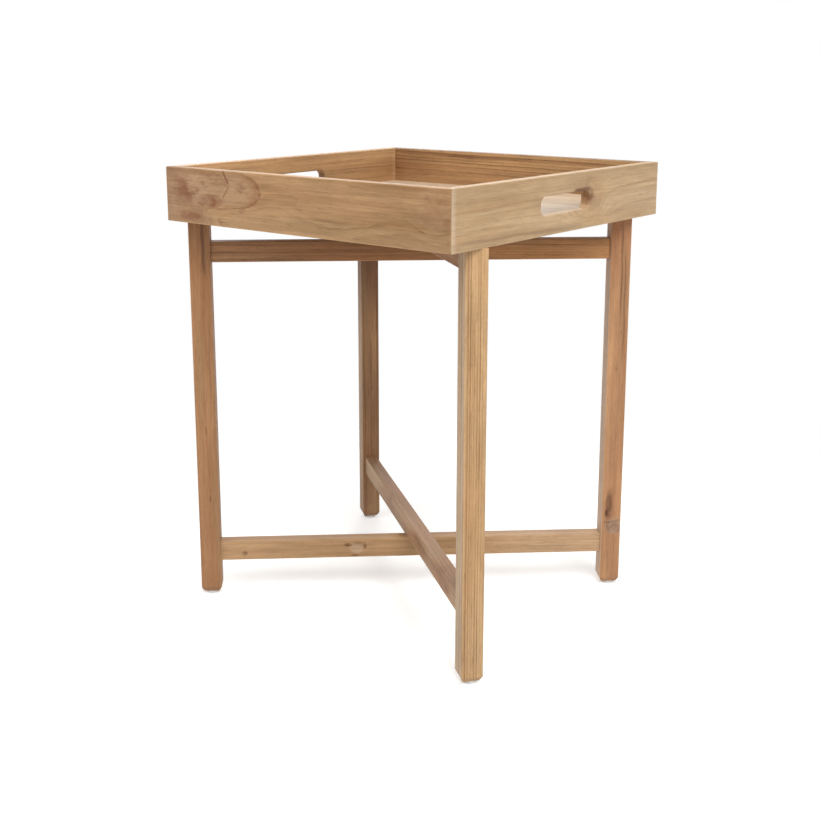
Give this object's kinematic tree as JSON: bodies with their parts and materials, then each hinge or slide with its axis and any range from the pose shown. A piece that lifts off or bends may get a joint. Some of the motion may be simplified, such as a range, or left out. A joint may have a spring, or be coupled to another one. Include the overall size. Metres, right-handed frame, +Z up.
{
  "type": "folding tray table",
  "caption": "Teak side table: a loose square tray with hand-hold slots resting on a folding cross base of pivoting leg frames.",
  "frame": {"origin": "on the floor, on the upright axis about which the two leg frames fold, which is also the middle of the overall box", "axes": "+Z up; +X along the tray from one hand-hold to the other; +Y along the plain direction of the tray, to the back"},
  "size_m": [0.5278, 0.5, 0.649],
  "materials": {
    "teak_sides": "sanded teak, oiled matt",
    "teak_floor": "sanded teak, oiled matt",
    "teak_cleats": "sawn and sanded teak, unfinished",
    "teak_frame": "sanded teak, oiled matt",
    "teak_plugs": "sanded flush teak plug",
    "tongue_wood": "raw hardwood",
    "zinc_steel": "zinc plated",
    "nylon": "moulded off-white nylon"
  },
  "bodies": {
    "under_frame": {"lower_head_washer": "zinc_steel", "lower_nut_washer": "zinc_steel", "lower_pivot_bolt": "zinc_steel", "lower_pivot_nut": "zinc_steel", "lower_spacer_washer": "zinc_steel", "under_left_glide": "nylon", "under_left_glide_nail": "zinc_steel", "under_left_leg": "teak_frame", "under_lower_rail": "teak_frame", "under_right_glide": "nylon", "under_right_glide_nail": "zinc_steel", "under_right_leg": "teak_frame", "under_upper_rail": "teak_frame", "upper_head_washer": "zinc_steel", "upper_nut_washer": "zinc_steel", "upper_pivot_bolt": "zinc_steel", "upper_pivot_nut": "zinc_steel", "upper_spacer_washer": "zinc_steel"},
    "over_frame": {"lower_pivot_plug": "teak_plugs", "over_back_glide": "nylon", "over_back_glide_nail": "zinc_steel", "over_back_leg": "teak_frame", "over_front_glide": "nylon", "over_front_glide_nail": "zinc_steel", "over_front_leg": "teak_frame", "over_lower_rail": "teak_frame", "over_upper_rail": "teak_frame", "upper_pivot_plug": "teak_plugs"},
    "tray": {"tray_back_cleat": "teak_cleats", "tray_back_side": "teak_sides", "tray_batten": "teak_cleats", "tray_batten_screws": "zinc_steel", "tray_corner_tongue_1": "tongue_wood", "tray_corner_tongue_2": "tongue_wood", "tray_corner_tongue_3": "tongue_wood", "tray_corner_tongue_4": "tongue_wood", "tray_floor_board_1": "teak_floor", "tray_floor_board_2": "teak_floor", "tray_floor_board_3": "teak_floor", "tray_floor_board_4": "teak_floor", "tray_floor_board_5": "teak_floor", "tray_front_cleat": "teak_cleats", "tray_front_side": "teak_sides", "tray_left_cleat": "teak_cleats", "tray_left_cleat_screws": "zinc_steel", "tray_left_handle_side": "teak_sides", "tray_right_cleat": "teak_cleats", "tray_right_cleat_screws": "zinc_steel", "tray_right_handle_side": "teak_sides"}
  },
  "joints": [
    {"name": "fold", "type": "hinge", "parent": "under_frame", "child": "over_frame", "pos_m": [0, 0, 0], "axis": [0, 0, 1], "range_deg": [-94, 72.5]},
    {"name": "tray_lift", "type": "slide", "parent": "under_frame", "child": "tray", "axis": [0, 0, 1], "range_m": [0, 0.25]}
  ]
}
